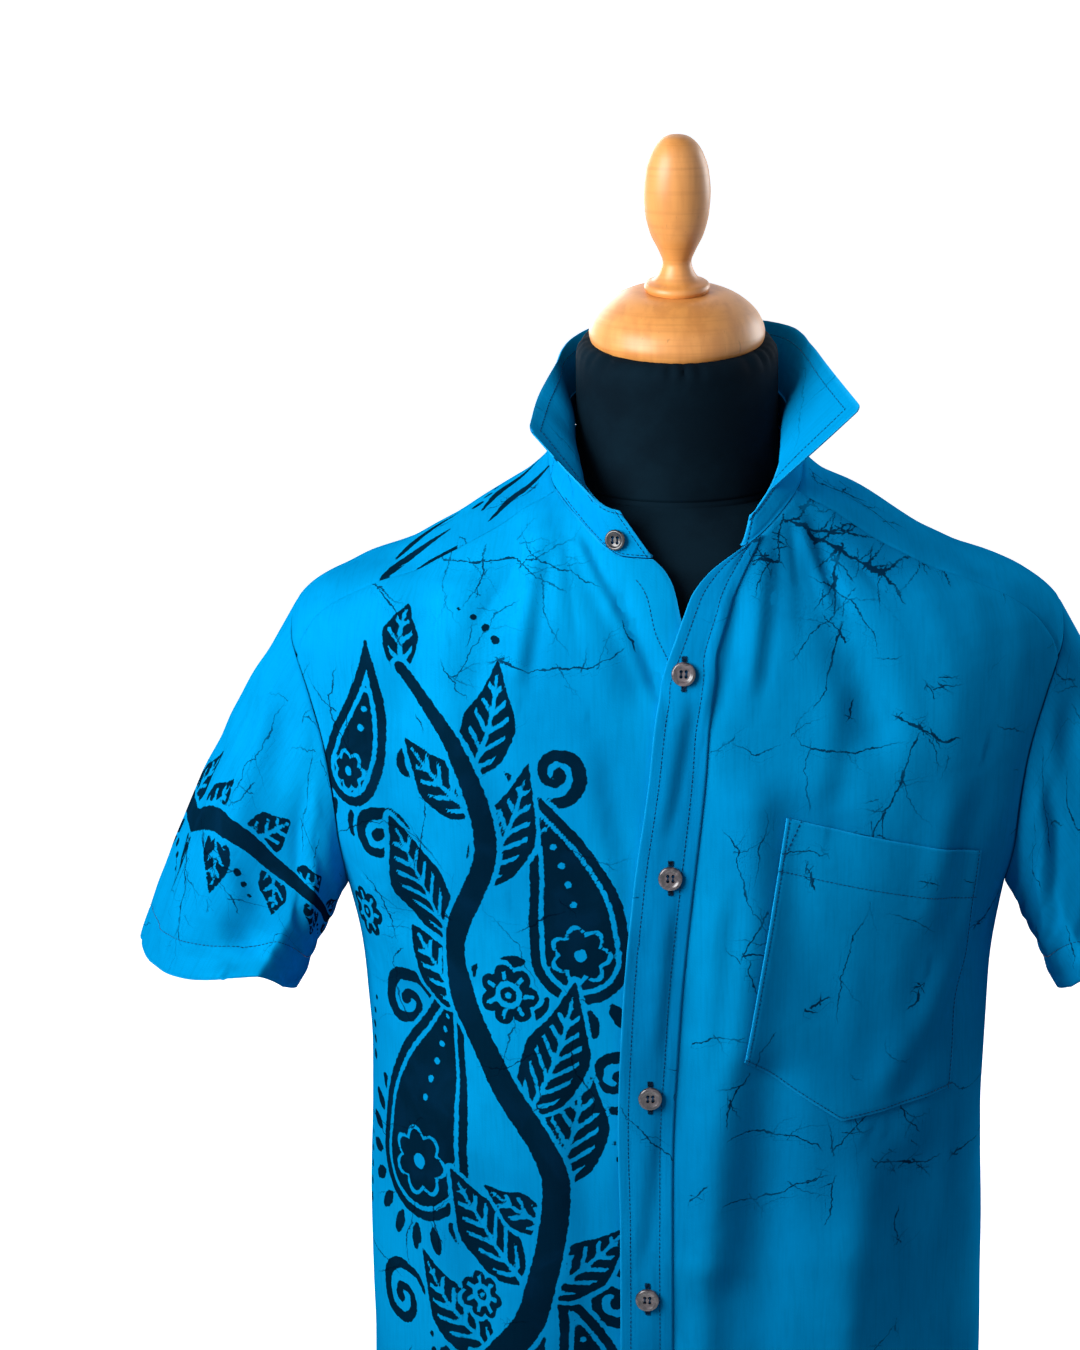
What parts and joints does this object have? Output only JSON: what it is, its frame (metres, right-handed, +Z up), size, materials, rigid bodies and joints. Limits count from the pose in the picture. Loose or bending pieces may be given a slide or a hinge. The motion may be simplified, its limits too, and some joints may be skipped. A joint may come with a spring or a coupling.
{
  "type": "batik shirt on dress form",
  "caption": "Short-sleeved button-up batik shirt with its collar up, worn by a limbless dress form with a turned wooden cap on a round wooden foot.",
  "frame": {"origin": "centre of the round foot's underside, on the floor", "axes": "+Z up; the shirt's front faces -Y; +X is to the wearer's left"},
  "size_m": [0.6764, 0.3, 1.1398],
  "materials": {
    "batik_cotton": "matt plain-woven cotton, wax-resist dyed azure with navy and fine crackle",
    "shell_buttons": "polished dark shell, four holes",
    "form_cover": "matt black stretch cover",
    "lacquered_beech": "turned beech, satin lacquer"
  },
  "bodies": {
    "root": {"front_right": "batik_cotton", "front_left": "batik_cotton", "placket": "batik_cotton", "yoke": "batik_cotton", "back": "batik_cotton", "sleeve_right": "batik_cotton", "sleeve_left": "batik_cotton", "collar_band": "batik_cotton", "collar": "batik_cotton", "pocket": "batik_cotton", "button_band": "shell_buttons", "button_1": "shell_buttons", "button_2": "shell_buttons", "button_3": "shell_buttons", "button_4": "shell_buttons", "button_5": "shell_buttons", "form_torso": "form_cover", "neck_cap": "lacquered_beech", "finial": "lacquered_beech", "stand_column": "lacquered_beech", "stand_foot": "lacquered_beech"}
  },
  "joints": []
}
